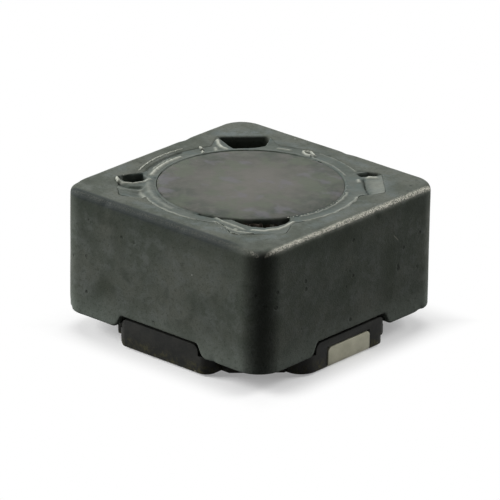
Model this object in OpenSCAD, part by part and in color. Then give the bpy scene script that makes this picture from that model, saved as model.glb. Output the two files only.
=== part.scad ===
// Shielded surface-mount power inductor.
// A wound drum core stands on a moulded header inside a square ferrite shield, and a ring of
// epoxy at the top holds the two cores together. Two tinned clips under the header are its terminals.
// Millimetres. The origin is at the middle of the footprint, on the circuit board, with +Z up.

/* [Shield] */
// Width of the square shield, which is the width of the whole part
shield_w = 12.5; // [11.5:0.1:16]
// Height of the shield
shield_h = 6; // [4.5:0.1:9]
// Thickness of the shield's wall at the middle of a side
shield_wall = 1.15; // [0.9:0.05:1.5]
// Radius of the shield's upright corners
corner_r = 1.3; // [0.9:0.05:1.8]
// Rounding along the shield's top edge
edge_r = 0.32; // [0.15:0.01:0.45]
// How far the flat back of each corner pocket lies outside the bore
pocket_depth = 1; // [0.6:0.05:1.3]
// Width of the flat back of each corner pocket
pocket_w = 2.4; // [1.8:0.1:3.2]
// Angle by which each side of a pocket opens towards the bore
pocket_flare = 16; // [5:1:25]
// Height of the window in the lower edge of each side
window_h = 0.63; // [0.6:0.01:1]
// Slant of each end of a window, across its height
window_slant = 0.34; // [0.2:0.01:0.5]
// Rounding where an end of a window meets the lower edge
window_r = 0.4; // [0.2:0.01:0.6]

/* [Drum core] */
// Width of the ring gap between the core's flanges and the bore
core_gap = 0.73; // [0.6:0.01:0.9]
// Thickness of each flange
flange_t = 1.05; // [0.8:0.05:1.3]
// Diameter of the post that carries the winding
post_d = 4.2; // [3.4:0.1:5.2]
// Chamfer on the rims of the flanges
flange_chamfer = 0.08; // [0.05:0.01:0.2]
// Thickness of the adhesive between the core and the header
bond_t = 0.1; // [0.05:0.01:0.2]
// Diameter of that adhesive
bond_d = 6.4; // [4:0.1:8]

/* [Winding] */
// Diameter of the enamelled wire
wire_d = 0.48; // [0.3:0.01:0.58]
// Play between one turn and the next
wire_play = 0.08; // [0.06:0.01:0.12]
// Play between the post and the first layer
post_play = 0.06; // [0.04:0.01:0.12]
// Length of wire that lies on a terminal, past its bend
tail = 0.15; // [0.1:0.01:0.2]
// Distance from a terminal's edge to the lead beside it
lead_gap = 0.4; // [0.35:0.01:0.5]

/* [Header] */
// Thickness of the header's plate
plate_t = 0.82; // [0.65:0.01:1.2]
// How far the plate reaches under the shield's inner edge
ledge = 0.1; // [0.05:0.01:0.3]
// Distance from the middle of an arm to its narrower side
arm_half = 2.65; // [2.55:0.01:2.8]
// How much wider a plain arm is on its other side
plain_extra = 0.3; // [0.1:0.01:0.6]
// How much wider a terminal's arm is on the side of its lead
shoulder = 0.65; // [0.4:0.01:0.9]
// Radius of an arm's upright corners
arm_r = 0.5; // [0.3:0.01:0.6]
// Radius of the upright corner at the end of a shoulder
shoulder_r = 0.85; // [0.5:0.01:0.95]
// How far a terminal's arm steps in, low down on its plain side
step_in = 0.15; // [0.05:0.01:0.2]
// Height of that step above the board
step_h = 0.52; // [0.3:0.01:0.6]
// Distance from the shield's face back to an arm's end face
arm_setback = 0.08; // [0.06:0.01:0.15]
// Width of the upright tab on each arm
tab_w = 4.7; // [4:0.01:4.9]
// Height of a tab above the plate
tab_h = 0.5; // [0.4:0.01:0.55]
// Thickness of a tab
tab_t = 0.82; // [0.6:0.01:1]
// Radius of a tab's top corners
tab_r = 0.3; // [0.2:0.01:0.38]
// Play between a tab and the end of its window, at the lower edge
tab_play = 0.32; // [0.3:0.01:0.4]

/* [Terminals] */
// Width of a terminal
terminal_w = 2.9; // [2.4:0.01:3.4]
// How far a terminal stands to the side of its lead
terminal_shift = 0.1; // [0:0.01:0.2]
// Thickness of its metal
terminal_t = 0.2; // [0.15:0.01:0.25]
// Radius inside its bend
bend_inside = 0.05; // [0.03:0.01:0.1]
// Height of its upright part above the board
terminal_h = 1; // [0.8:0.01:1.1]
// Radius of the upright part's top corners
terminal_r = 0.22; // [0.1:0.01:0.3]
// Length of the pad under the header
pad_l = 2.6; // [2:0.1:3]
// How far the pads stand below the header
pad_drop = 0.08; // [0.05:0.01:0.12]
// Play between a terminal and its recess in the header
recess_play = 0.03; // [0.02:0.01:0.05]
// Play round a lead in its slot in the header
slot_play = 0.28; // [0.25:0.01:0.35]
// Distance from a terminal's face back to the shield's face
terminal_setback = 0.03; // [0.01:0.01:0.05]
// Radius of each drop of solder
solder_r = 0.45; // [0.4:0.01:0.47]

/* [Epoxy] */
// Depth of the epoxy in the ring gap
epoxy_t = 0.85; // [0.5:0.05:0.95]
// How far the epoxy's surface lies below the top of the cores
epoxy_dip = 0.06; // [0.03:0.01:0.15]
// Share of each corner pocket that the epoxy fills: right, back, left, front
epoxy_fill = [0.85, 0.25, 0.55, 0.45]; // [0.2:0.01:0.9]

/* [Hidden] */
$fn = 96;
// How far a cut runs past the faces that it opens
CUT = 1;

// Levels, upwards from the board
plate_top = pad_drop + plate_t;
total_h = plate_top + shield_h;
core_z = plate_top + bond_t;
core_h = total_h - core_z;
epoxy_top = total_h - epoxy_dip;

// Radii, outwards from the axis
bore_r = shield_w / 2 - shield_wall;
flange_r = bore_r - core_gap;
lead_r = flange_r + core_gap / 2;
post_r = post_d / 2;
pocket_r = bore_r + pocket_depth;

// Corner pockets, at 45 degrees to the sides: right, back, left and front
POCKETS = [45, 135, 225, 315];
// The end of each pocket that the epoxy fills: -1 is the clockwise end
FILLED_END = [-1, -1, 1, -1];
pocket_half = pocket_w / 2;
pocket_wide = pocket_half + pocket_depth * tan(pocket_flare);
pocket_mouth = pocket_half + pocket_r * tan(pocket_flare);

// Header
arm_end = shield_w / 2 - arm_setback;
window_w = tab_w + 2 * tab_play;
body_half = bore_r + ledge;

// The wire: how it bends, and where each lead comes down beside its terminal
pitch = wire_d + wire_play;
lead_bend = wire_d;
tail_run = lead_bend + tail;
tail_z = terminal_t + wire_d / 2;
lead_y = terminal_w / 2 + terminal_shift + lead_gap + wire_d / 2;
lead_a = asin(lead_y / lead_r);

// Degrees round the axis for an arc of that length at the leads' radius
function degrees(arc) = arc / lead_r * 180 / PI;

// Terminals
terminal_face = shield_w / 2 - terminal_setback;
bend_r = terminal_t + bend_inside;
tail_a = lead_a - degrees(tail_run);
slot_x = lead_r * (cos(lead_a) + cos(tail_a)) / 2;
slot_w = 2 * slot_play + wire_d;
slot_low = lead_r * sin(tail_a) - wire_d / 2 - slot_play / 2;
slot_high = lead_y + wire_d / 2 + slot_play / 2;

// Winding: the lead that starts it crosses below the layers, at cross_z
cross_z = core_z + flange_t + pitch / 2;
low_z = cross_z + pitch;
turns = floor((total_h - flange_t - pitch / 2 - low_z) / pitch);
high_z = low_z + turns * pitch;
first_r = post_r + post_play + pitch / 2;
layers = 1 + floor((flange_r - pitch / 2 - first_r) / pitch);
function layer_r(k) = first_r + k * pitch;
function layer_from(k) = k % 2 == 0 ? low_z : high_z;
function layer_to(k) = k % 2 == 0 ? high_z : low_z;

// The wire's angles round the axis: in to the post, up to the first layer, through the layers,
// with a step outwards between one and the next, and out to the second lead
CROSSING = 210;
RISE = 150;
STEP_OUT = 120;
LEAST_OUT = 60;
MOST_RAMP = 150;
in_a = lead_a + degrees(lead_bend);
wound_a = in_a + CROSSING + RISE;
layer_sweep = 360 * turns + STEP_OUT;
wound_end = wound_a + layers * layer_sweep - STEP_OUT;
out_a = lead_a + 180 - degrees(lead_bend);
out_sweep = LEAST_OUT + (((out_a - wound_end - LEAST_OUT) % 360) + 360) % 360;
finish_a = wound_end + out_sweep + degrees(lead_bend);
last_r = layer_r(layers - 1);
last_z = layer_to(layers - 1);

// The tube along the wire: its sides, and the angle from one ring to the next
SIDES = 8;
RING_A = 22.5;
function rings_in(sweep) = ceil(sweep / RING_A);
function ease(t) = t * t * (3 - 2 * t);
function mix(a, b, t) = a + (b - a) * t;

// A point of a lead, as [angle, radius, height], at some arc past angle a
function lead_at(a, arc, z) = [a + degrees(arc), lead_r, z];

// A lead from its terminal upwards at angle a, then round the axis one way or the other at height z
function lead(a, way, z) = concat(
    [lead_at(a, -tail_run, tail_z)],
    [for (t = [0:RING_A:90]) lead_at(a, -lead_bend * (1 - sin(t)), tail_z + lead_bend * (1 - cos(t)))],
    [for (t = [0.25, 0.5, 0.75]) lead_at(a, 0, mix(tail_z + lead_bend, z - lead_bend, t))],
    [for (t = [0:RING_A:90]) lead_at(a, way * lead_bend * (1 - cos(t)), z - lead_bend * (1 - sin(t)))]);

// A stretch round the axis from angle a, whose radius goes from r to s within ramp degrees
// and whose height goes evenly from z to w
function stretch(a, sweep, ramp, r, s, z, w) =
    let (n = rings_in(sweep))
    [for (i = [1:n])
        [a + sweep * i / n, mix(r, s, ease(min(1, sweep / ramp * i / n))), mix(z, w, i / n)]];

function layer(k) = stretch(wound_a + k * layer_sweep, 360 * turns, 360,
    layer_r(k), layer_r(k), layer_from(k), layer_to(k));
function step_out(k) = stretch(wound_a + (k + 1) * layer_sweep - STEP_OUT, STEP_OUT, STEP_OUT,
    layer_r(k), layer_r(k + 1), layer_to(k), layer_to(k));

start_lead = lead(lead_a, 1, cross_z);
finish_lead = lead(finish_a, -1, last_z);
route = concat(
    start_lead,
    stretch(in_a, CROSSING, CROSSING, lead_r, first_r, cross_z, cross_z),
    stretch(in_a + CROSSING, RISE, RISE, first_r, first_r, cross_z, low_z),
    [for (k = [0:layers - 1]) each concat(layer(k), k < layers - 1 ? step_out(k) : [])],
    stretch(wound_end, out_sweep, min(out_sweep, MOST_RAMP), last_r, lead_r, last_z, last_z),
    [for (i = [len(finish_lead) - 2:-1:0]) finish_lead[i]]);

function place(p) = [p[1] * cos(p[0]), p[1] * sin(p[0]), p[2]];
function unit(v) = v / norm(v);

// A closed tube of SIDES faces along a route, square to it at each point
module tube(path, d) {
    points = [for (p = path) place(p)];
    last = len(points) - 1;
    rings = [for (i = [0:last])
        let (
            along = unit(points[min(i + 1, last)] - points[max(i - 1, 0)]),
            out = [cos(path[i][0]), sin(path[i][0]), 0],
            u = unit(out - along * (out * along)),
            v = cross(along, u)
        )
        for (s = [0:SIDES - 1])
            points[i] + d / 2 * (u * cos(360 * s / SIDES) + v * sin(360 * s / SIDES))];
    walls = [for (i = [0:last - 1]) for (s = [0:SIDES - 1])
        let (n = (s + 1) % SIDES, a = i * SIDES, b = a + SIDES)
        [a + s, b + s, b + n, a + n]];
    ends = [[for (s = [0:SIDES - 1]) s], [for (s = [SIDES - 1:-1:0]) last * SIDES + s]];
    polyhedron(rings, concat(walls, ends));
}

// A square with round corners, about the axis
module rounded_square(w, r) {
    square([w, w - 2 * r], center = true);
    square([w - 2 * r, w], center = true);
    for (x = [-1, 1], y = [-1, 1])
        translate([x, y] * (w / 2 - r)) circle(r);
}

// A block on that square, with its top edge rounded
module rounded_block(w, h, r, e) {
    linear_extrude(h - e) rounded_square(w, r);
    linear_extrude(h) rounded_square(w - 2 * e, r - e);
    straight = w - 2 * r;
    for (a = [0:90:270])
        rotate(a) translate([w / 2 - e, -straight / 2, h - e])
            rotate([-90, 0, 0]) cylinder(r = e, h = straight);
    for (x = [-1, 1], y = [-1, 1])
        translate([x * (w / 2 - r), y * (w / 2 - r), h - e])
            rotate_extrude() translate([r - e, 0]) circle(e);
}

// The outline of one corner pocket, out along +X from the axis
module pocket_outline() {
    polygon([[0, -pocket_mouth], [pocket_r, -pocket_half], [pocket_r, pocket_half], [0, pocket_mouth]]);
}

// The shield's opening seen from above: the bore with its four pockets
module bore_outline() {
    circle(bore_r);
    for (a = POCKETS)
        rotate(a) intersection() {
            pocket_outline();
            translate([bore_r / 2, -pocket_mouth]) square([bore_r, 2 * pocket_mouth]);
        }
}

// The outline of a window: narrower at the top, with rounded lower corners
module window_outline() {
    half = window_w / 2;
    side = unit([-window_slant, window_h]);
    reach = window_r * tan(atan(window_h / window_slant) / 2);
    polygon([[-half, -CUT], [half, -CUT], [half, 0], [half - window_slant, window_h],
        [-half + window_slant, window_h], [-half, 0]]);
    for (x = [0, 1])
        mirror([x, 0]) difference() {
            polygon([[half, 0], [half, -CUT], [half + reach, -CUT], [half + reach, window_r],
                [half, 0] + reach * side]);
            translate([half + reach, window_r]) circle(window_r);
        }
}

module shield() {
    color([0.27, 0.28, 0.27])
        translate([0, 0, plate_top]) difference() {
            rounded_block(shield_w, shield_h, corner_r, edge_r);
            translate([0, 0, -CUT]) linear_extrude(shield_h + 2 * CUT) bore_outline();
            for (a = [0, 90])
                rotate(a) rotate([90, 0, 90])
                    linear_extrude(2 * shield_w, center = true) window_outline();
        }
}

module drum_core() {
    c = flange_chamfer;
    color([0.33, 0.33, 0.32])
        translate([0, 0, core_z]) rotate_extrude()
            polygon([[0, 0], [flange_r - c, 0], [flange_r, c], [flange_r, flange_t - c],
                [flange_r - c, flange_t], [post_r, flange_t], [post_r, core_h - flange_t],
                [flange_r - c, core_h - flange_t], [flange_r, core_h - flange_t + c],
                [flange_r, core_h - c], [flange_r - c, core_h], [0, core_h]]);
}

module winding() {
    color([0.72, 0.38, 0.2]) lead_side() tube(route, wire_d);
}

// One side of an arm's outline, out along +X, with the corner at its end rounded
module arm_side(w, r) {
    square([arm_end - r, w]);
    square([arm_end, w - r]);
    translate([arm_end - r, w - r]) circle(r);
}

// The outline of a plain arm
module plain_arm() {
    arm_side(arm_half + plain_extra, arm_r);
    mirror([0, 1]) arm_side(arm_half, arm_r);
}

// The outline of an arm that carries a terminal, with its shoulder on the side of the lead
module terminal_arm(narrowed) {
    arm_side(arm_half - narrowed, arm_r);
    mirror([0, 1]) arm_side(arm_half + shoulder, shoulder_r);
}

// The eight-sided body of the plate, which closes the pockets from below
module body_outline() {
    intersection() {
        square(2 * body_half, center = true);
        rotate(45) square(2 * pocket_r, center = true);
    }
}

// An upright tab on the end of an arm whose outline is given
module tab() {
    intersection() {
        linear_extrude(plate_top + tab_h) children();
        translate([arm_end - tab_t, 0, plate_top - plate_t / 2]) rotate([90, 0, 90])
            linear_extrude(2 * tab_t) tab_outline(plate_t / 2 + tab_h);
    }
}

// The outline of a tab, seen from outside
module tab_outline(h) {
    translate([-tab_w / 2, 0]) square([tab_w, h - tab_r]);
    translate([tab_r - tab_w / 2, 0]) square([tab_w - 2 * tab_r, h]);
    for (y = [-1, 1])
        translate([y * (tab_w / 2 - tab_r), h - tab_r]) circle(tab_r);
}

// The side of each arm on which a lead comes down
module lead_side() {
    mirror([0, 1, 0]) children();
}

// The pad under the arm along +X, with the ear that the wire lies on, grown by some play
module pad_outline(play) {
    translate([terminal_face - pad_l - play, terminal_shift - terminal_w / 2 - play])
        square([pad_l + 2 * play, terminal_w + 2 * play]);
    translate([slot_x - slot_w / 2 - play, 0])
        square([slot_w + 2 * play, slot_high + play]);
}

// The slot through which a lead comes down to its terminal
module slot_outline() {
    translate([slot_x - slot_w / 2, slot_low]) square([slot_w, slot_high - slot_low]);
}

// Room in the arm along +X for the outer part of a terminal, up to height h
module upright_recess(depth, h) {
    w = terminal_w + 2 * recess_play;
    translate([terminal_face - depth, terminal_shift - w / 2, -h]) cube([2 * depth, w, 2 * h]);
}

module header() {
    color([0.09, 0.09, 0.09]) difference() {
        union() {
            translate([0, 0, pad_drop]) linear_extrude(plate_t) body_outline();
            for (a = [0, 180])
                rotate(a) {
                    translate([0, 0, pad_drop]) linear_extrude(plate_t) terminal_arm(step_in);
                    translate([0, 0, step_h])
                        linear_extrude(plate_top - step_h) terminal_arm(0);
                    tab() terminal_arm(0);
                }
            for (a = [90, 270])
                rotate(a) {
                    translate([0, 0, pad_drop]) linear_extrude(plate_t) plain_arm();
                    tab() plain_arm();
                }
        }
        for (a = [0, 180])
            rotate(a) lead_side() {
                linear_extrude(2 * terminal_t, center = true) pad_outline(recess_play);
                linear_extrude(3 * plate_t, center = true) slot_outline();
                upright_recess(terminal_t, terminal_h + recess_play);
                upright_recess(bend_r, bend_r);
            }
    }
}

// The outline of a terminal's upright part, seen from outside, from its bend up
module upright_outline() {
    half = terminal_w / 2;
    translate([-half, bend_r]) square([terminal_w, terminal_h - terminal_r - bend_r]);
    translate([terminal_r - half, bend_r]) square([terminal_w - 2 * terminal_r, terminal_h - bend_r]);
    for (y = [-1, 1])
        translate([y * (half - terminal_r), terminal_h - terminal_r]) circle(terminal_r);
}

// The bend between a terminal's upright part and its pad
module bend_outline() {
    intersection() {
        difference() {
            circle(bend_r);
            circle(bend_r - terminal_t);
        }
        translate([0, -bend_r]) square(bend_r);
    }
}

// The terminal along +X: an upright plate, a bend and the pad under the header
module terminal() {
    color([0.72, 0.71, 0.66]) lead_side() {
        linear_extrude(terminal_t) difference() {
            pad_outline(0);
            translate([terminal_face - bend_r, -terminal_w]) square([bend_r + CUT, 2 * terminal_w]);
        }
        translate([0, terminal_shift, 0]) {
            translate([terminal_face - bend_r, terminal_w / 2, bend_r]) rotate([90, 0, 0])
                linear_extrude(terminal_w) bend_outline();
            translate([terminal_face - terminal_t, 0, 0]) rotate([90, 0, 90])
                linear_extrude(terminal_t) upright_outline();
        }
    }
}

// The drop of solder on the ear along +X, round the end of the lead
module solder() {
    color([0.62, 0.62, 0.6]) lead_side() difference() {
        translate([slot_x, (slot_low + slot_high) / 2, terminal_t + solder_r / 4]) sphere(solder_r);
        translate([0, 0, terminal_t - shield_w]) cube(2 * shield_w, center = true);
        tube(start_lead, wire_d);
    }
}

// The part of the pocket along +X that the epoxy fills, from one of its ends
module filled_outline(end, share) {
    intersection() {
        pocket_outline();
        translate([flange_r, pocket_wide * (2 * end * (1 - share) - 1)])
            square([pocket_r - flange_r, 2 * pocket_wide]);
    }
}

// The epoxy in the ring gap and in part of each pocket
module gap_epoxy() {
    color([0.3, 0.36, 0.35]) translate([0, 0, epoxy_top - epoxy_t]) linear_extrude(epoxy_t)
        difference() {
            union() {
                circle(bore_r);
                for (k = [0:3])
                    rotate(POCKETS[k]) filled_outline(FILLED_END[k], epoxy_fill[k]);
            }
            circle(flange_r);
        }
}

// The adhesive between the core and the header
module core_bond() {
    color([0.55, 0.55, 0.5]) translate([0, 0, plate_top]) cylinder(d = bond_d, h = bond_t);
}

shield();
drum_core();
winding();
header();
terminal();  // start_terminal
rotate(180) terminal();  // finish_terminal
solder();  // start_solder
rotate(180) solder();  // finish_solder
gap_epoxy();
core_bond();
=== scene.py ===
# %% [markdown]
# # A shielded power inductor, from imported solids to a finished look
# The part is a coil of copper wire on a drum of ferrite. The drum stands inside a square shield of
# the same ferrite, both sit on a black moulded header, and a ring of epoxy at the top holds the two
# cores together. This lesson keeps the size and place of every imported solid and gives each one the
# shape detail and the finish of the real piece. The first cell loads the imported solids. Everything
# after it is measured in their frame: metres, the middle of the footprint at the origin, +Z up.

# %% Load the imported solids
import math

import bmesh
import bpy
import numpy as np
from mathutils import Matrix, Vector, noise


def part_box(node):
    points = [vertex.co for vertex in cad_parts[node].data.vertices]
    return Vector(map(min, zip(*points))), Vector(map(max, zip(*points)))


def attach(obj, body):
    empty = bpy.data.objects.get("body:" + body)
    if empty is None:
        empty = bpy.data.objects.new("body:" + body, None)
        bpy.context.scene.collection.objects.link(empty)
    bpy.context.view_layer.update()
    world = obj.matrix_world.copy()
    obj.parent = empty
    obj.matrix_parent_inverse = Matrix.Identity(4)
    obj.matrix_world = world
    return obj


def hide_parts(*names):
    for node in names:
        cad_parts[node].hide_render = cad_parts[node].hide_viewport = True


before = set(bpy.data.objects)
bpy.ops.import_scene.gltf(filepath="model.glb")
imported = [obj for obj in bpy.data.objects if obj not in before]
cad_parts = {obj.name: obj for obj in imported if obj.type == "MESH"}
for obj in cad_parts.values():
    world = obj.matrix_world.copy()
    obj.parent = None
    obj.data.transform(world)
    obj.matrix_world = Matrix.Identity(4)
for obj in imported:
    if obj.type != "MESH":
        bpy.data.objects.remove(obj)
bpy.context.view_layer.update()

MM = 0.001

# %% [markdown]
# ## The camera
# The camera comes first, because every later choice is judged through it. It is a long lens at some
# distance, which keeps the upright edges of a small part nearly parallel, as product pictures do.
# Its place is worked out from two angles round the part and a distance. A small roll and a small
# upward shift finish the framing.

# %% Place the camera
CAMERA_AZIMUTH = math.radians(41.26)
CAMERA_ELEVATION = math.radians(22.05)
CAMERA_ROLL = math.radians(0.87)
CAMERA_DISTANCE = 0.265
AIM_HEIGHT = 3.89 * MM
LENS_LENGTH, LENS_SHIFT_UP = 413.2, -0.0106

back = Vector((math.sin(CAMERA_AZIMUTH) * math.cos(CAMERA_ELEVATION),
               -math.cos(CAMERA_AZIMUTH) * math.cos(CAMERA_ELEVATION),
               math.sin(CAMERA_ELEVATION)))
level_right = Vector((math.cos(CAMERA_AZIMUTH), math.sin(CAMERA_AZIMUTH), 0))
level_up = back.cross(level_right)
right = level_right * math.cos(CAMERA_ROLL) + level_up * math.sin(CAMERA_ROLL)
up = level_up * math.cos(CAMERA_ROLL) - level_right * math.sin(CAMERA_ROLL)
turn = Matrix((right, up, back)).transposed().to_4x4()

lens = bpy.data.cameras.new("camera")
lens.sensor_width = 36
lens.lens = LENS_LENGTH
lens.shift_y = LENS_SHIFT_UP
lens.clip_start = 0.01
lens.clip_end = 20
camera = bpy.data.objects.new("camera", lens)
camera.matrix_world = Matrix.Translation(Vector((0, 0, AIM_HEIGHT)) + back * CAMERA_DISTANCE) @ turn
bpy.context.scene.collection.objects.link(camera)
bpy.context.scene.camera = camera
print("camera stands", round(camera.location.length, 3), "m away")

# %% [markdown]
# ## Making a mesh from rows of points
# Most pieces here are skins stretched over a grid of points: round the shield, or over the epoxy.
# One helper turns points in millimetres and faces into an object in metres. A second one joins
# rows of point numbers into four-sided faces. It leaves the object at the origin, unturned,
# because the place of a piece belongs in its mesh.

# %% Helpers for meshes
def new_piece(name, points, faces):
    """An object in metres, from points in millimetres and faces of point numbers."""
    mesh = bpy.data.meshes.new(name)
    mesh.from_pydata([tuple(p) for p in np.asarray(points) * MM], [], faces)
    piece = bpy.data.objects.new(name, mesh)
    bpy.context.scene.collection.objects.link(piece)
    return piece


SAME_POINT = 1e-7


def tidy_mesh(piece, sharp=math.radians(40)):
    """Merges doubled points, turns every face outwards, and shades the mesh smooth between edges."""
    form = bmesh.new()
    form.from_mesh(piece.data)
    bmesh.ops.remove_doubles(form, verts=form.verts, dist=SAME_POINT)
    bmesh.ops.recalc_face_normals(form, faces=form.faces)
    form.to_mesh(piece.data)
    form.free()
    piece.data.shade_smooth()
    piece.data.set_sharp_from_angle(angle=sharp)


def grid_faces(numbers, wrap):
    """Faces between the rows of a grid of point numbers; wrap also joins the last row to the first."""
    after = np.roll(numbers, -1, axis=0) if wrap else numbers[1:]
    here = numbers if wrap else numbers[:-1]
    corners = np.stack([here[:, :-1], here[:, 1:], after[:, 1:], after[:, :-1]], axis=-1)
    return corners.reshape(-1, 4).tolist()


def wander(points, scale, seed):
    """Soft noise from -1 to 1 at each point, with hills about scale millimetres apart."""
    away = Vector((seed * 17.3, seed * -9.1, seed * 5.7))
    return np.array([noise.noise(Vector(p) / scale + away) for p in points])


def smooth_step(low, high, value):
    """0 below low, 1 above high, and a smooth rise between."""
    t = np.clip((value - low) / (high - low), 0, 1)
    return t * t * (3 - 2 * t)


def report_size(piece):
    print(piece.name, "has", len(piece.data.polygons), "faces")


# %% [markdown]
# ## The sizes that the pieces share
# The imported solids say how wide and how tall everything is. A few more sizes, such as the bore of
# the shield, are repeated here in millimetres, because a finished skin has to follow the same
# bore, pockets and windows as the solid it stands for.

# %% Shared sizes
shield_low, shield_high = (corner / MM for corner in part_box("shield"))
core_low, core_high = (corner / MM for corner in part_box("drum_core"))
HALF = shield_high.x
TOP = shield_high.z
EDGE_LOW = shield_low.z
FLANGE_R = core_high.x
BORE_R = 5.1
CORNER_R = 1.3
EDGE_R = 0.32
POCKET_R = 6.1
POCKET_HALF = 1.2
POCKET_FLARE = math.tan(math.radians(16))
print("shield", round(2 * HALF, 2), "mm wide, flange radius", round(FLANGE_R, 2), "mm")

# %% [markdown]
# ## The shield's opening, seen from above
# The bore is a circle with a flat-backed pocket at each corner. Pressed ferrite has no knife edges,
# so every corner of the outline is rounded. The part has eight equal octants, so one octant's
# outline is enough: from the middle of the +X side, along the bore, round the pocket's corner and
# to the diagonal.

# %% Outline of the opening in one octant
def round_corners(points, radii, steps=6):
    """A path through points, with an arc of the given radius at each inner point."""
    points = [np.array(p, float) for p in points]
    path = [points[0]]
    for before, here, after, radius in zip(points, points[1:], points[2:], radii):
        into = (before - here) / np.linalg.norm(before - here)
        out = (after - here) / np.linalg.norm(after - here)
        half_angle = math.acos(np.clip(into @ out, -1, 1)) / 2
        reach = radius / math.tan(half_angle)
        middle = (into + out) / np.linalg.norm(into + out)
        centre = here + middle * radius / math.sin(half_angle)
        start, end = here + into * reach - centre, here + out * reach - centre
        sweep = math.pi - 2 * half_angle
        for k in range(steps + 1):
            t = k / steps
            blend = (math.sin((1 - t) * sweep) * start + math.sin(t * sweep) * end) / math.sin(sweep)
            path.append(centre + blend)
    path.append(points[-1])
    return np.array(path)


SIN45 = math.sqrt(0.5)
MOUTH_ROUND = 0.3
POCKET_ROUND = 0.28


def pocket_point(along, side):
    """A point in the pocket's own axes (out along the diagonal, and to its clockwise side)."""
    return np.array([(along + side) * SIN45, (along - side) * SIN45])


def pocket_half_at(along):
    return POCKET_HALF + (POCKET_R - along) * POCKET_FLARE


mouth_along = next(x for x in np.arange(BORE_R, 4, -0.001)
                   if x * x + pocket_half_at(x) ** 2 <= BORE_R ** 2)
mouth = pocket_point(mouth_along, pocket_half_at(mouth_along))
mouth_angle = math.atan2(mouth[1], mouth[0])
bore_arc = [(BORE_R * math.cos(a), BORE_R * math.sin(a))
            for a in np.linspace(0, mouth_angle - 0.09, 24)]
corner_path = round_corners(
    [bore_arc[-1], mouth, pocket_point(POCKET_R, POCKET_HALF), pocket_point(POCKET_R, 0)],
    [MOUTH_ROUND, POCKET_ROUND])
inner_path = np.vstack([bore_arc[:-1], corner_path])
print("a pocket opens", round(math.degrees(mouth_angle), 1), "degrees from the side's middle")

# %% [markdown]
# ## The window's outline
# Each side has a low window in its lower edge, where the header's tab comes up. Its slanted ends
# meet the lower edge in a generous round, because the pressing tool needs that. The outline is kept
# as points with the direction that looks into the ferrite, so the edge can be softened along it.

# %% Outline of the window's half
WINDOW_HALF = 2.67
WINDOW_H = 0.63
WINDOW_SLANT = 0.34
LOW_ROUND = 0.4
CEILING_ROUND = 0.14

slope = math.atan2(WINDOW_H, WINDOW_SLANT)


def window_arc(centre, radius, start, end, steps, inwards):
    """Points of a round at one end of the window, each with its angle into the ferrite."""
    angles = np.linspace(start, end, steps)
    away = -1 if inwards else 1
    return [(centre[0] + away * radius * math.cos(a), centre[1] + away * radius * math.sin(a), a)
            for a in angles]


into_slant = math.pi / 2 - slope
turn_reach = math.tan((math.pi / 2 - into_slant) / 2)
ceiling_centre = (WINDOW_HALF - WINDOW_SLANT - CEILING_ROUND * turn_reach, WINDOW_H - CEILING_ROUND)
low_centre = (WINDOW_HALF + LOW_ROUND * turn_reach, LOW_ROUND)
window_path = (
    [(y, WINDOW_H, math.pi / 2) for y in np.linspace(0, ceiling_centre[0] - 0.06, 15)]
    + window_arc(ceiling_centre, CEILING_ROUND, math.pi / 2, into_slant, 5, False)
    + window_arc(low_centre, LOW_ROUND, into_slant, math.pi / 2, 8, True)
    + [(y, 0.0, math.pi / 2) for y in (3.02, 3.14)])
print("window outline has", len(window_path), "points a side")

# %% [markdown]
# ## Stations round the shield
# The skin of the shield is lofted over stations. A station is one upright cut through the wall: a
# point on the outer outline, a point on the inner outline, and the height of the lower edge there.
# Beside a window the cuts run square to the face, so the window's ends stay straight through the
# wall. Near the corner they fan out. One octant is made, then mirrored, then turned four times.

# %% Stations of one octant, and of the whole shield
def along_path(path, count):
    """Points at equal steps along a path."""
    run = np.concatenate([[0], np.cumsum(np.linalg.norm(np.diff(path, axis=0), axis=1))])
    at = np.linspace(0, run[-1], count)
    return np.stack([np.interp(at, run, path[:, k]) for k in range(2)], axis=1)


def path_normals(path):
    """Directions square to a path, to its left."""
    ahead = np.gradient(path, axis=0)
    ahead /= np.linalg.norm(ahead, axis=1)[:, None]
    return np.stack([-ahead[:, 1], ahead[:, 0]], axis=1)


FAN_STATIONS = 30
last_y = window_path[-1][0]
bend = int(np.argmax(inner_path[:, 1] > last_y))
side_y = np.array([p[0] for p in window_path])
inner_side = np.stack([np.interp(side_y, inner_path[:, 1], inner_path[:, 0]), side_y], axis=1)
inner_fan = along_path(np.vstack([inner_side[-1], inner_path[bend:]]), FAN_STATIONS)[1:]
corner_angles = np.linspace(0, math.pi / 4, 16)
corner_mid = HALF - CORNER_R
outer_fan = along_path(np.vstack(
    [[HALF, last_y]]
    + [[corner_mid + CORNER_R * math.cos(a), corner_mid + CORNER_R * math.sin(a)]
       for a in corner_angles]), FAN_STATIONS)[1:]
outer = np.vstack([np.stack([np.full(len(side_y), HALF), side_y], axis=1), outer_fan])
inner = np.vstack([inner_side, inner_fan])
from_mid = np.maximum(outer - corner_mid, 0)
outward = np.where(from_mid.min(axis=1)[:, None] > 0, from_mid / CORNER_R, [[1.0, 0.0]])
into_bore = path_normals(inner)
into_bore[0], into_bore[-1] = (-1, 0), (-SIN45, -SIN45)
lift = np.array([p[1] for p in window_path] + [0.0] * len(outer_fan))
lean = np.array([p[2] for p in window_path] + [math.pi / 2] * len(outer_fan))
octant = np.column_stack([outer, outward, inner, into_bore, lift, np.cos(lean), np.sin(lean)])

mirrored = octant[:0:-1] * np.array([1, -1, 1, -1, 1, -1, 1, -1, 1, -1, 1])
side = np.vstack([mirrored, octant])[:-1]


def turned(pairs, quarter):
    c, s = round(math.cos(quarter * math.pi / 2)), round(math.sin(quarter * math.pi / 2))
    return pairs @ np.array([[c, s], [-s, c]])


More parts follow.
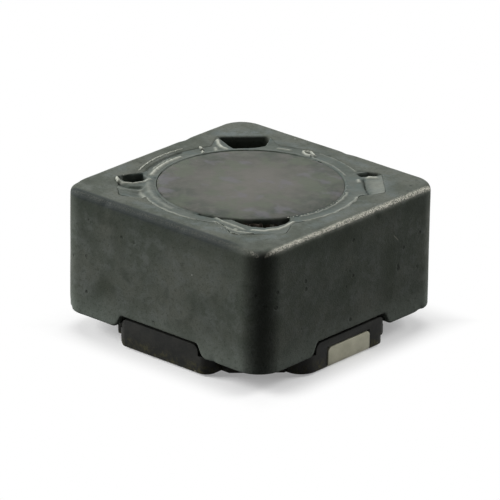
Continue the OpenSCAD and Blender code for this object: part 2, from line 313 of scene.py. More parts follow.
stations = np.vstack([np.column_stack(
    [turned(side[:, 0:2], q), turned(side[:, 2:4], q), turned(side[:, 4:6], q),
     turned(side[:, 6:8], q), side[:, 8:], turned(np.tile([0.0, 1.0], (len(side), 1)), q)])
    for q in range(4)])
print("the shield has", len(stations), "stations")

# %% [markdown]
# ## The shield's skin
# Each station gives one ring of points: up the outer face, over the soft top edge, across the top,
# down into the bore and back along the lower edge. Rows of those points make clean four-sided
# faces, which shade better than a block that was cut with Boolean tools.

# %% Loft the shield
LOWER_SOFT = 0.09
MOUTH_SOFT = 0.09
WALL_ROWS, EDGE_ROWS, TOP_ROWS, BORE_ROWS, UNDER_ROWS = 34, 7, 15, 10, 6

outer, outward, inner, into_bore = (stations[:, k:k + 2] for k in (0, 2, 4, 6))
lift, lean_side, lean_up = stations[:, 8], stations[:, 9], stations[:, 10]
sideways = stations[:, 11:]
quarter_turn = math.pi / 2


def ring(plan, height):
    return np.column_stack([plan, np.broadcast_to(height, len(plan))])


rows = []
for a in np.linspace(0, quarter_turn, 4):
    rise = LOWER_SOFT * (1 - math.cos(a))
    plan = outer - outward * LOWER_SOFT * (1 - math.sin(a)) + sideways * (lean_side * rise)[:, None]
    rows.append(ring(plan, EDGE_LOW + lift + lean_up * rise))
foot = EDGE_LOW + lift + lean_up * LOWER_SOFT
for f in np.linspace(0, 1, WALL_ROWS)[1:]:
    plan = outer + sideways * (lean_side * LOWER_SOFT * (1 - f) ** 2)[:, None]
    rows.append(ring(plan, foot + f * (TOP - EDGE_R - foot)))
for a in np.linspace(0, quarter_turn, EDGE_ROWS)[1:]:
    rows.append(ring(outer - outward * EDGE_R * (1 - math.cos(a)), TOP - EDGE_R * (1 - math.sin(a))))
rim, lip = outer - outward * EDGE_R, inner - into_bore * MOUTH_SOFT
for f in np.linspace(0, 1, TOP_ROWS)[1:]:
    rows.append(ring(rim + f * (lip - rim), TOP))
for a in np.linspace(0, quarter_turn, 4)[1:]:
    rows.append(ring(inner - into_bore * MOUTH_SOFT * (1 - math.sin(a)),
                     TOP - MOUTH_SOFT * (1 - math.cos(a))))
for f in np.linspace(0, 1, BORE_ROWS)[1:]:
    rows.append(ring(inner, TOP - MOUTH_SOFT + f * (EDGE_LOW + lift - TOP + MOUTH_SOFT)))
under = outer - outward * LOWER_SOFT
for f in np.linspace(0, 1, UNDER_ROWS)[1:-1]:
    rows.append(ring(inner + f * (under - inner), EDGE_LOW + lift))

points = np.stack(rows, axis=1)
numbers = np.arange(points.shape[0] * points.shape[1]).reshape(points.shape[:2])
numbers = np.column_stack([numbers, numbers[:, 0]])
shield = new_piece("ferrite_shield", points.reshape(-1, 3), grid_faces(numbers, wrap=True))
tidy_mesh(shield)
report_size(shield)

# %% [markdown]
# ## Small dents and an uneven skin
# A perfect block looks drawn. Soft noise moves the skin by about a hundredth of a millimetre, as
# pressing, sintering and tumbling do, and a few small dents sit where the edges were knocked. The
# noise moves real points, so that the outline shows it too.

# %% Knock the shield about a little
def mesh_arrays(piece):
    """The points and point normals of a piece, in millimetres and as directions."""
    co = np.zeros(len(piece.data.vertices) * 3)
    out = np.zeros(len(piece.data.vertices) * 3)
    piece.data.vertices.foreach_get("co", co)
    piece.data.vertex_normals.foreach_get("vector", out)
    return co.reshape(-1, 3) / MM, out.reshape(-1, 3)


def move_points(piece, points):
    piece.data.vertices.foreach_set("co", (points * MM).ravel())
    piece.data.update()


def mark(piece, name, values):
    """Keeps one number for each point of the piece, for its material to read."""
    layer = piece.data.attributes.new(name, "FLOAT", "POINT")
    layer.data.foreach_set("value", np.asarray(values, np.float32))


DENTS = [((6.2, -2.1, 6.8), 0.3, 0.05), ((6.25, 1.5, 6.75), 0.35, 0.05),
         ((-3.4, -6.2, 6.8), 0.4, 0.05), ((1.2, -6.2, 6.82), 0.3, 0.04),
         ((-6.1, -5.2, 6.7), 0.5, 0.06), ((3.4, -6.25, 1.0), 0.3, 0.05),
         ((-5.7, -5.9, 1.0), 0.4, 0.07), ((6.2, 4.9, 1.0), 0.35, 0.06),
         ((-6.2, 2.2, 6.8), 0.4, 0.05), ((0.6, 6.2, 6.8), 0.4, 0.05),
         ((-4.6, 6.2, 1.1), 0.5, 0.06)]
skin, skin_out = mesh_arrays(shield)
shift = 0.010 * wander(skin, 2.4, 1) + 0.005 * wander(skin, 0.7, 2)
for middle, radius, depth in DENTS:
    apart = np.linalg.norm(skin - middle, axis=1) / radius
    shift -= depth * np.exp(-2.5 * apart ** 2)
move_points(shield, skin + skin_out * shift[:, None])
print("the skin moved by", round(float(np.abs(shift).max()), 3), "mm at most")

# %% [markdown]
# ## Where the shield's skin carries other finishes
# Three numbers are kept at every point of the skin. One says how much the top edge is lighter:
# partly worn to a lighter grain, partly a painted highlight, strongest on the edge over the +X
# terminal, where the light catches it. One says where the top edge on the -Y side is darker. The
# last says where epoxy was wiped over the ferrite beside the pockets. The material mixes these
# numbers with its own fine noise, so they only have to be right to about a tenth of a millimetre.

# %% Mark wear with a painted highlight, a darker edge, and wiped epoxy
skin, skin_out = mesh_arrays(shield)


def near_line(points, start, end):
    """Distance of each point, seen from above, to the line between two points."""
    start, end = np.array(start, float), np.array(end, float)
    along = end - start
    t = np.clip((points[:, :2] - start) @ along / (along @ along), 0, 1)
    return np.linalg.norm(points[:, :2] - start - t[:, None] * along, axis=1)


def near_path(points, path):
    """Distance of each point, seen from above, to a path."""
    return np.min([near_line(points, a, b) for a, b in zip(path, path[1:])], axis=0)


to_side = np.maximum(np.abs(skin[:, 0]), np.abs(skin[:, 1])) - (HALF - EDGE_R)
to_top = skin[:, 2] - (TOP - EDGE_R)
round_edge = np.degrees(np.arctan2(to_top, to_side))
on_edge = np.where((to_side > 0) & (to_top > 0), np.exp(-((round_edge - 56) / 17) ** 2), 0)
# The lighter top edge is worn grain plus a painted highlight, strongest on the +X side, where the light
# catches it.
worn_and_lit_side = 0.04 + 0.96 * smooth_step(HALF - 1.1, HALF - 0.4, skin[:, 0]) * (
    0.6 + 0.4 * smooth_step(-6.1, -4.9, skin[:, 1]))
mark(shield, "edge_wear_and_highlight", on_edge * worn_and_lit_side)
# The top edge on the -Y side is darker.
darkened_edge = smooth_step(-HALF + 0.5, -HALF + 0.3, skin[:, 1]) * smooth_step(-0.05, 0.1, to_top)
mark(shield, "dark_top_edge", darkened_edge * smooth_step(5.4, 3.6, skin[:, 0]))

WIPES = [([(-5.3, 3.9), (-4.0, 5.3)], 0.75, 1.0), ([(-3.0, 4.6), (-1.6, 5.2)], 0.5, 0.6),
         ([(3.8, 5.2), (5.6, 3.4)], 0.45, 0.8), ([(5.3, 1.8), (5.45, -2.0)], 0.5, 0.7),
         ([(-5.6, -2.4), (-5.5, -3.4)], 0.6, 0.8), ([(-2.2, -5.3), (1.2, -5.35)], 0.4, 0.6),
         ([(1.5, -5.3), (3.8, -5.0)], 0.55, 0.8), ([(5.3, -3.6), (4.4, -5.2)], 0.45, 0.7),
         ([(-1.4, 5.3), (2.4, 5.4)], 0.4, 0.5)]
on_top = smooth_step(TOP - 0.1, TOP - 0.03, skin[:, 2])
wiped = np.max([weight * smooth_step(width, 0.1 * width, near_path(skin, path))
                for path, width, weight in WIPES], axis=0) * on_top
mark(shield, "wiped", wiped)
wiped_share = float((wiped > 0.3).sum() / max(on_top.sum(), 1))
print("wiped epoxy covers", round(100 * wiped_share), "% of the top")

# %% [markdown]
# ## The drum core, turned from a profile
# The drum is pressed and then ground on its axis, so its whole shape is one profile carried round.
# That is a rule, and Geometry Nodes can follow it. The trees in this lesson are all built with the
# small helper below, which adds a node in one line and runs the finished tree on an object.

# %% A small helper for node trees of shapes
class ShapeTree:
    """A Geometry Nodes tree with named inputs, built one node at a time."""

    def __init__(self, name, inputs):
        self.tree = bpy.data.node_groups.new(name, "GeometryNodeTree")
        face = self.tree.interface
        face.new_socket("Geometry", in_out="INPUT", socket_type="NodeSocketGeometry")
        self.sockets = {label: face.new_socket(label, in_out="INPUT", socket_type=kind)
                        for label, kind in inputs.items()}
        face.new_socket("Geometry", in_out="OUTPUT", socket_type="NodeSocketGeometry")
        self.inputs = self.tree.nodes.new("NodeGroupInput").outputs

    def node(self, kind, settings=None, inputs=None, output=0):
        """Adds a node: its settings first, then values or links; gives back one of its outputs."""
        node = self.tree.nodes.new(kind)
        for key, value in (settings or {}).items():
            setattr(node, key, value)
        for key, value in (inputs or {}).items():
            if isinstance(value, bpy.types.NodeSocket):
                self.tree.links.new(value, node.inputs[key])
            else:
                node.inputs[key].default_value = value
        return node.outputs[output]

    def math(self, operation, a, b=0.0):
        return self.node("ShaderNodeMath", {"operation": operation}, {0: a, 1: b})

    def finish(self, geometry):
        """Ends the tree, as every tree here, in Realize Instances and Set Material."""
        real = self.node("GeometryNodeRealizeInstances", inputs={"Geometry": geometry})
        last = self.node("GeometryNodeSetMaterial",
                         inputs={"Geometry": real, "Material": self.inputs["Material"]})
        self.tree.links.new(last, self.tree.nodes.new("NodeGroupOutput").inputs[0])

    def grow(self, name, start, values):
        """Runs the tree on an object and gives back a plain mesh object with the result."""
        modifier = start.modifiers.new(name, "NODES")
        modifier.node_group = self.tree
        for label, value in values.items():
            modifier[self.sockets[label].identifier] = value
        graph = bpy.context.evaluated_depsgraph_get()
        graph.update()
        mesh = bpy.data.meshes.new_from_object(start.evaluated_get(graph), depsgraph=graph)
        start.modifiers.remove(modifier)
        bpy.data.objects.remove(start)
        mesh.name = name
        piece = bpy.data.objects.new(name, mesh)
        bpy.context.scene.collection.objects.link(piece)
        return piece


def strand(name, points):
    """An object of points joined by edges, in order, from points in millimetres."""
    mesh = bpy.data.meshes.new(name)
    mesh.from_pydata([tuple(np.array(p) * MM) for p in points],
                     [(k, k + 1) for k in range(len(points) - 1)], [])
    piece = bpy.data.objects.new(name, mesh)
    bpy.context.scene.collection.objects.link(piece)
    return piece


finish = {label: bpy.data.materials.new(label) for label in (
    "tumbled_ferrite", "ground_ferrite", "enamelled_copper", "moulded_header", "tinned_clip",
    "reflowed_solder", "cured_epoxy", "core_adhesive")}

# %% [markdown]
# ## A tree that carries a profile round
# The tree makes a grid with one column of points for each step round. Each point takes its radius
# and height from the profile and its angle from its column. The first and last columns meet, and
# so do the points on the axis, so the tree merges them before it ends.

# %% The tree that carries a profile round the axis
turning = ShapeTree("carry_profile_round", {"Steps": "NodeSocketInt", "Material": "NodeSocketMaterial"})
profile_in, steps_in = turning.inputs["Geometry"], turning.inputs["Steps"]
profile_count = turning.node("GeometryNodeAttributeDomainSize", {"component": "MESH"},
                             {"Geometry": profile_in}, output="Point Count")
columns = turning.node("GeometryNodeMeshGrid", inputs={
    "Vertices X": turning.math("ADD", steps_in, 1.0), "Vertices Y": profile_count})
number = turning.node("GeometryNodeInputIndex")
column = turning.math("FLOOR", turning.math("DIVIDE", number, profile_count))
row = turning.math("SUBTRACT", number, turning.math("MULTIPLY", column, profile_count))
on_profile = turning.node(
    "GeometryNodeSampleIndex", {"data_type": "FLOAT_VECTOR", "domain": "POINT"},
    {"Geometry": profile_in, "Index": row, "Value": turning.node("GeometryNodeInputPosition")})
apart = turning.tree.nodes.new("ShaderNodeSeparateXYZ")
turning.tree.links.new(on_profile, apart.inputs[0])
angle = turning.math("MULTIPLY", turning.math("DIVIDE", column, steps_in), math.tau)
carried = turning.node("ShaderNodeCombineXYZ", inputs={
    "X": turning.math("MULTIPLY", apart.outputs["X"], turning.math("COSINE", angle)),
    "Y": turning.math("MULTIPLY", apart.outputs["X"], turning.math("SINE", angle)),
    "Z": apart.outputs["Z"]})
turned_skin = turning.node("GeometryNodeSetPosition", inputs={"Geometry": columns, "Position": carried})
turning.finish(turning.node("GeometryNodeMergeByDistance",
                            inputs={"Geometry": turned_skin, "Distance": 0.002 * MM}))

# %% [markdown]
# ## The drum's profile
# Two flanges stand on a post, and each flange has a small chamfer at its rim. The profile has extra
# points beside each edge, which keeps the shading crisp there and flat elsewhere. Grinding leaves
# the rim a little nibbled, so some soft noise takes bites out of it.

# %% Turn the drum core
FLANGE_T = 1.05
POST_R = 2.1
RIM_CHAMFER = 0.08
low, high = core_low.z, core_high.z


def softened(points, soft=0.03):
    """A profile with two close points in place of each corner."""
    path = [points[0]]
    for before, here, after in zip(points, points[1:], points[2:]):
        here = np.array(here)
        for other in (before, after):
            way = np.array(other) - here
            path.append(tuple(here + way / np.linalg.norm(way) * min(soft, np.linalg.norm(way) / 3)))
    return path + [points[-1]]


rim, chamfer = FLANGE_R, RIM_CHAMFER
profile = softened([
    (0, low), (rim - chamfer, low), (rim, low + chamfer), (rim, low + FLANGE_T - chamfer),
    (rim - chamfer, low + FLANGE_T), (POST_R, low + FLANGE_T), (POST_R, high - FLANGE_T),
    (rim - chamfer, high - FLANGE_T), (rim, high - FLANGE_T + chamfer), (rim, high - chamfer),
    (rim - chamfer, high), (3.4, high), (2.5, high), (1.7, high), (0.9, high), (0, high)])
drum = turning.grow("ferrite_drum", strand("drum_profile", [(r, 0, z) for r, z in profile]),
                    {"Steps": 240, "Material": finish["ground_ferrite"]})
tidy_mesh(drum)
skin, skin_out = mesh_arrays(drum)
away = np.linalg.norm(skin[:, :2], axis=1)
uneven = 0.006 * wander(skin, 1.1, 3) + 0.010 * wander(skin, 3.0, 4)
nibbled = smooth_step(rim - 0.2, rim - 0.02, away) * np.maximum(wander(skin, 0.35, 5) - 0.15, 0)
move_points(drum, skin + skin_out * (np.minimum(uneven, 0.01) - 0.05 * nibbled)[:, None])
report_size(drum)

# %% [markdown]
# ## The winding, drawn along its route
# One wire makes the whole coil: up from a terminal, in to the post, up and down it in three layers,
# and out to the other terminal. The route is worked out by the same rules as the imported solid: each
# point is an angle round the axis, a radius and a height. Geometry Nodes then draws a round wire
# along the route, as the winding machine lays it.

# %% The wire's route
WIRE_D, PITCH = 0.48, 0.56
LEAD_R, FIRST_R = 4.735, 2.44
LEAD_Y = 2.19
TAIL_Z, TAIL_RUN, LEAD_BEND = 0.44, 0.63, 0.48
CROSS_Z, LOW_Z = low + FLANGE_T + PITCH / 2, low + FLANGE_T + 3 * PITCH / 2
LAYERS, TURNS, STEP_OUT = 3, 4, 120
HIGH_Z = LOW_Z + TURNS * PITCH
LEAD_A = math.degrees(math.asin(LEAD_Y / LEAD_R))


def degrees(arc):
    return math.degrees(arc / LEAD_R)


def lead(a, way, z):
    """A lead from its terminal up, then round the axis one way or the other."""
    bends = [math.radians(t) for t in (0, 22.5, 45, 67.5, 90)]
    return (
        [(a - degrees(TAIL_RUN), LEAD_R, TAIL_Z)]
        + [(a - degrees(LEAD_BEND * (1 - math.sin(t))), LEAD_R, TAIL_Z + LEAD_BEND * (1 - math.cos(t)))
           for t in bends]
        + [(a, LEAD_R, TAIL_Z + LEAD_BEND + t * (z - TAIL_Z - 2 * LEAD_BEND)) for t in (0.25, 0.5, 0.75)]
        + [(a + way * degrees(LEAD_BEND * (1 - math.cos(t))), LEAD_R, z - LEAD_BEND * (1 - math.sin(t)))
           for t in bends])


def stretch(a, sweep, ramp, r, s, z, w):
    """A stretch round the axis whose radius goes from r to s within ramp degrees."""
    count = math.ceil(sweep / 9)
    ease = [float(smooth_step(0, 1, min(1, sweep / ramp * k / count))) for k in range(1, count + 1)]
    return [(a + sweep * k / count, r + (s - r) * e, z + (w - z) * k / count)
            for k, e in enumerate(ease, 1)]


in_a = LEAD_A + degrees(LEAD_BEND)
wound_a = in_a + 360
layer_sweep = 360 * TURNS + STEP_OUT
route = lead(LEAD_A, 1, CROSS_Z)
route += stretch(in_a, 210, 210, LEAD_R, FIRST_R, CROSS_Z, CROSS_Z)
route += stretch(in_a + 210, 150, 150, FIRST_R, FIRST_R, CROSS_Z, LOW_Z)
for k in range(LAYERS):
    r, z = FIRST_R + k * PITCH, (LOW_Z, HIGH_Z)[k % 2]
    w = LOW_Z + HIGH_Z - z
    route += stretch(wound_a + k * layer_sweep, 360 * TURNS, 360, r, r, z, w)
    if k < LAYERS - 1:
        step_from = wound_a + (k + 1) * layer_sweep - STEP_OUT
        route += stretch(step_from, STEP_OUT, STEP_OUT, r, r + PITCH, w, w)
wound_end = wound_a + LAYERS * layer_sweep - STEP_OUT
out_sweep = 60 + (LEAD_A + 180 - degrees(LEAD_BEND) - wound_end - 60) % 360
route += stretch(wound_end, out_sweep, min(out_sweep, 150), r, LEAD_R, w, w)
route += lead(wound_end + out_sweep + degrees(LEAD_BEND), -1, w)[-2::-1]
wire_path = [(r * math.cos(math.radians(a)), -r * math.sin(math.radians(a)), z) for a, r, z in route]
print("the wire is", round(sum(math.dist(p, q) for p, q in zip(wire_path, wire_path[1:]))), "mm long")

# %% [markdown]
# ## From route to wire
# The route is resampled at even steps and a small circle is swept along it. Even steps keep the
# faces of the wire about square, however tight the bend.

# %% Draw the wire
wiring = ShapeTree("draw_round_wire", {"Radius": "NodeSocketFloat", "Step": "NodeSocketFloat",
                                       "Material": "NodeSocketMaterial"})
line = wiring.node("GeometryNodeMeshToCurve", inputs={"Mesh": wiring.inputs["Geometry"]})
spaced = wiring.node("GeometryNodeResampleCurve", {"mode": "LENGTH"},
                     {"Curve": line, "Length": wiring.inputs["Step"]})
section = wiring.node("GeometryNodeCurvePrimitiveCircle", {"mode": "RADIUS"},
                      {"Resolution": 14, "Radius": wiring.inputs["Radius"]})
drawn = wiring.node("GeometryNodeCurveToMesh",
                    inputs={"Curve": spaced, "Profile Curve": section, "Fill Caps": True})
wiring.finish(drawn)
wire = wiring.grow("copper_winding", strand("wire_route", wire_path), {
    "Radius": WIRE_D / 2 * MM, "Step": 0.28 * MM, "Material": finish["enamelled_copper"]})
tidy_mesh(wire)
report_size(wire)

# %% [markdown]
# ## The epoxy, as a height over the plan
# The epoxy was dispensed by hand or needle into the ring gap and the pockets, and it set as it ran:
# level in some places, in ridges in others, with open holes where it never reached. Such a skin is
# easiest to describe as a height at each place on the plan. A grid in rings and spokes follows the
# drum and the bore exactly. Below the skin, the solid goes down into the gap. Where the height
# would be below the solid's underside there is no epoxy, and those faces are left out.

# %% The epoxy's grid
def opening_radius(angles):
    """The radius of the shield's opening in each direction."""
    fold = np.abs((angles + math.pi / 4) % (math.pi / 2) - math.pi / 4)
    path_angles = np.arctan2(inner_path[:, 1], inner_path[:, 0])
    return np.interp(fold, path_angles, np.linalg.norm(inner_path, axis=1))


SPOKES = 840
OVER_DRUM, OVER_SHIELD = 0.24, 0.5
DEPTH, HIDDEN = 0.91, 0.03
spoke_angles = np.linspace(0, math.tau, SPOKES, endpoint=False)
edge_radii = opening_radius(spoke_angles)
inside = np.linspace(FLANGE_R - OVER_DRUM, FLANGE_R, 7)[:-1]
across = np.linspace(0, 1, 27)
outside = np.linspace(0, OVER_SHIELD, 12)[1:]
radii = np.column_stack([np.tile(inside, (SPOKES, 1)),
                         FLANGE_R + across * (edge_radii[:, None] - FLANGE_R),
                         edge_radii[:, None] + outside])
plan = np.stack([radii * np.cos(spoke_angles)[:, None], radii * np.sin(spoke_angles)[:, None]], axis=-1)
flat_plan = plan.reshape(-1, 2)
reach_r = radii.ravel()
gap_out = np.repeat(edge_radii, radii.shape[1])
spoke_degrees = np.repeat(np.degrees(spoke_angles), radii.shape[1])
in_gap = ((reach_r > FLANGE_R - 1e-6) & (reach_r < gap_out + 1e-6))
print("the epoxy's grid has", len(flat_plan), "places")

# %% [markdown]
# ## Paths and outlines on the plan
# A ridge follows a path, and a hole has an outline. Two things are asked of every place on the
# plan: how far is it from that line, and on which side of the outline does it lie. The second is
# found by counting how often a ray from the place crosses the outline.

# %% Measure from paths and outlines
def inside_outline(points, outline):
    """Whether each point lies inside a closed outline."""
    x, y = points[:, 0], points[:, 1]
    hit = np.zeros(len(points), bool)
    for (ax, ay), (bx, by) in zip(outline, outline[1:] + outline[:1]):
        crosses = (ay > y) != (by > y)
        with np.errstate(divide="ignore", invalid="ignore"):
            hit ^= crosses & (x < (bx - ax) * (y - ay) / (by - ay) + ax)
    return hit


def to_outline(points, outline):
    """Distance to an outline: negative inside it."""
    apart = near_path(points, outline + outline[:1])
    return np.where(inside_outline(points, outline), -apart, apart)


def arc(radius, start, end, count=14, wobble=0.0):
    """A path round the axis, in degrees from +X."""
    return [((radius + wobble * math.sin(2.7 * k)) * math.cos(math.radians(a)),
             (radius + wobble * math.sin(2.7 * k)) * math.sin(math.radians(a)))
            for k, a in enumerate(np.linspace(start, end, count))]


print("an arc of 90 degrees at radius 1 ends at", np.round(arc(1, 0, 90)[-1], 3))

# %% [markdown]
# ## What the epoxy did in each place
# These tables are the map of the epoxy, in millimetres. A hole is an outline. A ridge is a path
# with a height, a width and the strength of the painted highlight on its crest. A hollow is a path
# with a depth and a width. A shelf is a ledge deep in a hole, as a path with a level and a width.

# %% Map the holes, ridges, hollows and shelves
HOLES = {
    "back": [(-5.20, 3.50), (-3.45, 5.25), (-2.86, 4.16), (-3.05, 3.62), (-3.62, 2.92),
             (-4.35, 3.20)],
    "left": [(-4.52, -2.50), (-4.06, -2.62), (-3.98, -3.22), (-4.28, -3.66), (-5.02, -3.58), (-5.0, -3.2)],
    "right": [(2.72, 4.42), (2.98, 4.30), (3.38, 4.62), (3.55, 5.02), (3.1, 5.06)],
    "front": arc(4.3, -66, -25, 12) + [(4.18, -2.1), (4.28, -2.55), (4.22, -3.0), (3.94, -3.5),
                                       (3.44, -3.82), (2.86, -3.86), (2.3, -3.84)],
}
RIDGES = [
    (arc(5.40, 168, 205, 16, 0.02), 0.075, 0.085, 1.0),
    (arc(4.70, 176, 208, 16, 0.02), 0.07, 0.090, 0.9),
    (arc(4.86, 182, 200, 10, 0.03), 0.06, 0.05, 0.5),
    ([(-4.84, 3.1), (-4.5, 2.8), (-4.12, 2.6), (-3.78, 2.55)], 0.08, 0.075, 1.0),
    ([(-4.8, -3.86), (-4.4, -3.92), (-4.0, -3.66), (-3.76, -3.2), (-3.76, -2.75)], 0.07, 0.06, 0.8),
    ([(-5.02, -3.66), (-4.84, -3.84), (-4.66, -3.96)], 0.09, 0.09, 1.0),
    ([(-4.3, -4.5), (-3.9, -4.56), (-3.5, -4.3), (-3.28, -3.9)], 0.04, 0.09, 0.1),
    ([(3.77, 5.02), (4.6, 4.32), (5.46, 3.42)], 0.05, 0.045, 0.7),
    ([(3.42, 4.36), (3.68, 4.52)], 0.10, 0.12, 1.0),
    ([(3.2, 3.86), (3.42, 3.66)], 0.07, 0.06, 0.8),
    ([(4.5, -2.2), (4.58, -2.8), (4.54, -3.3), (4.22, -3.86), (3.8, -4.16)], 0.06, 0.08, 0.9),
    ([(1.55, -4.2), (2.2, -4.32), (2.95, -4.34), (3.5, -4.4)], 0.06, 0.06, 0.6),
    ([(1.9, -4.62), (2.6, -4.76), (3.4, -4.78), (4.1, -4.52)], 0.06, 0.06, 0.6),
    ([(2.4, -4.98), (3.2, -5.12), (3.8, -5.0)], 0.05, 0.06, 0.4),
    ([(-0.98, 4.78), (-0.62, 4.92), (-0.22, 4.74), (-0.30, 4.52), (-0.66, 4.58), (-0.92, 4.72)],
     0.12, 0.05, 1.0),
    ([(-4.86, 1.86), (-4.62, 1.78)], 0.10, 0.06, 1.0),
    ([(-4.42, 1.58), (-4.24, 1.42)], 0.10, 0.06, 0.9),
    ([(-4.3, 2.36), (-4.05, 2.12)], 0.05, 0.08, 0.5),
    ([(-2.1, 4.32), (-1.6, 4.54)], 0.05, 0.08, 0.5),
    (arc(5.16, 62, 92, 10, 0.03), 0.035, 0.07, 0.3),
    (arc(4.52, 58, 96, 12, 0.02), 0.035, 0.05, 0.3),
    (arc(4.52, -18, 30, 14, 0.02), 0.04, 0.05, 0.45),
    (arc(5.12, -20, 24, 12, 0.03), 0.05, 0.09, 0.5),
    (arc(5.14, 230, 282, 16, 0.03), 0.04, 0.08, 0.4),
    (arc(4.75, 215, 262, 14, 0.03), 0.03, 0.10, 0.2),
    ([(3.14, -4.62), (3.2, -4.6)], 0.06, 0.06, 1.0),
    ([(3.62, -2.66), (3.68, -2.62)], 0.05, 0.06, 1.0),
]
HOLLOWS = [
    ([(3.35, 4.03), (4.0, 3.4), (4.74, 2.84)], 0.13, 0.07),
    (arc(5.05, 172, 203, 14), 0.05, 0.10),
    (arc(4.46, 212, 300, 30), 0.07, 0.05),
    ([(-0.62, 4.76), (-0.48, 4.68)], 0.10, 0.05),
    ([(-4.56, 1.72), (-4.46, 1.66)], 0.12, 0.05),
    ([(-3.2, -4.1), (-2.9, -4.5)], 0.16, 0.30),
    ([(-4.5, -4.1), (-3.9, -4.1), (-3.5, -3.7)], 0.14, 0.12),
    (arc(4.43, 280, 302, 10), 0.3, 0.04),
    (arc(4.44, -24, 16, 12), 0.03, 0.05),
]

SHELVES = [
    (arc(4.46, -60, -42, 10, 0.03), -0.16, 0.07),
    (arc(4.44, -40, -33, 6, 0.02), -0.24, 0.06),
]

print(len(HOLES), "holes,", len(RIDGES), "ridges,", len(HOLLOWS), "hollows,", len(SHELVES), "shelves")

# %% [markdown]
# ## The skin over the map
# The level skin dips a little between the drum and the bore, as any liquid does between two walls,
# and it climbs the drum's rim where it wets it. The ridges and hollows are then added. Where a hole
# opens, the skin dives, and a thin raised lip stands round it. Two numbers are kept for the
# material: where a painted highlight lies on the epoxy, and where it forms a brown ledge inside a hole.

# %% Lay the epoxy's skin
share = np.clip((reach_r - FLANGE_R) / (gap_out - FLANGE_R), 0, 1)
skin_height = -0.012 - 0.03 * np.sin(math.pi * share)
with_z = np.column_stack([flat_plan, np.zeros(len(flat_plan))])
clinging = 1 - smooth_step(200, 214, spoke_degrees) * smooth_step(312, 300, spoke_degrees)
skin_height += 0.026 * clinging * np.exp(-(share * (gap_out - FLANGE_R) / 0.1) ** 2)
skin_height += 0.016 * wander(with_z, 0.6, 6) + 0.007 * wander(with_z, 0.2, 7)
over = np.where(in_gap, 0.0, np.maximum(FLANGE_R - reach_r, reach_r - gap_out))
skin_height -= 0.05 * smooth_step(0.0, 0.06, over) + 0.3 * np.maximum(over - 0.05, 0)
painted_highlight, amber = np.zeros(len(flat_plan)), np.zeros(len(flat_plan))
# Each ridge carries a painted highlight along its crest.
for path, height, width, highlight_strength in RIDGES:
    swell = np.exp(-(near_path(flat_plan, path) / width) ** 2)
    skin_height += (height + 0.35 * over) * swell
    painted_highlight = np.maximum(painted_highlight, highlight_strength * swell)
for path, depth, width in HOLLOWS:
    skin_height -= depth * np.exp(-(near_path(flat_plan, path) / width) ** 2)
# A painted sheen beside the right pocket, with no ridge under it.
SHEEN_PATH, SHEEN_STRENGTH = [(3.9, 4.5), (4.9, 3.5)], 0.22
painted_highlight = np.maximum(painted_highlight, SHEEN_STRENGTH * smooth_step(0.7, 0.2, near_path(flat_plan, SHEEN_PATH)))
for outline in HOLES.values():
    to_hole = to_outline(flat_plan, outline) + 0.03 * wander(with_z, 0.4, 8)
    skin_height += 0.02 * np.exp(-((to_hole - 0.12) / 0.06) ** 2)
    dive = smooth_step(0.06, -0.07, to_hole)
    skin_height = skin_height * (1 - dive) - (DEPTH + 0.1) * dive
for path, level, width in SHELVES:
    ledge = level + 0.03 * wander(with_z, 0.25, 10) - 0.3 * (near_path(flat_plan, path) / width) ** 2
    amber = np.maximum(amber, smooth_step(-0.02, 0.02, ledge - skin_height) * (ledge > -DEPTH))
    skin_height = np.maximum(skin_height, ledge)
print("the skin lies between", round(float(skin_height.min()), 2), "and",
      round(float(skin_height.max()), 2), "mm from the top")

# %% [markdown]
# ## From a skin to a closed piece
# The same grid is laid once more below, at the depth of the epoxy. Faces where the epoxy has no
# thickness are left out, and a wall closes every open edge between the two skins. So the piece is
# closed and has an inside, as a solid should.

# %% Close the epoxy into a solid
under_height = np.where(in_gap, -DEPTH, -HIDDEN)
shape = radii.shape
thick = (skin_height - under_height).reshape(shape)
cell_thick = np.stack([thick, np.roll(thick, -1, axis=0)])
cell_thick = np.stack([cell_thick[:, :, :-1], cell_thick[:, :, 1:]]).reshape(4, shape[0], shape[1] - 1)
kept = cell_thick.min(axis=0) > 0
count = len(flat_plan)
numbers = np.arange(count).reshape(shape)
quads = np.array(grid_faces(numbers, wrap=True)).reshape(shape[0], shape[1] - 1, 4)
top_faces = quads[kept]
edges = np.concatenate([top_faces[:, [k, (k + 1) % 4]] for k in range(4)])
keys = set(map(tuple, edges.tolist()))
sides = [(b, a, a + count, b + count) for a, b in keys if (b, a) not in keys]
under_faces = top_faces[:, ::-1] + count
solid_points = np.vstack([np.column_stack([flat_plan, TOP + skin_height]),
                          np.column_stack([flat_plan, TOP + np.minimum(under_height, skin_height)])])
epoxy = new_piece("cured_epoxy_ring", solid_points, top_faces.tolist() + under_faces.tolist() + sides)
mark(epoxy, "painted_highlight", np.concatenate([painted_highlight, painted_highlight]))
mark(epoxy, "amber", np.concatenate([amber, amber]))
form = bmesh.new()
form.from_mesh(epoxy.data)
loose = [v for v in form.verts if not v.link_faces]
bmesh.ops.delete(form, geom=loose, context="VERTS")
bmesh.ops.recalc_face_normals(form, faces=form.faces)
form.to_mesh(epoxy.data)
form.free()
epoxy.data.shade_smooth()
epoxy.data.set_sharp_from_angle(angle=math.radians(75))
report_size(epoxy)

# %% [markdown]
# ## The moulded header and the tinned clips
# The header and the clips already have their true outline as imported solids. What they lack is the
# soft edge of a moulding and of a bent strip. So a copy of each solid's mesh is merged, its flat
# faces are joined again, and a narrow bevel runs round every edge. One arm of the header also has
# its lower outer corner lifted, as the mould leaves it rounded. Two cuts beside that corner keep
# the rest of the underside flat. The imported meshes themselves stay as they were.

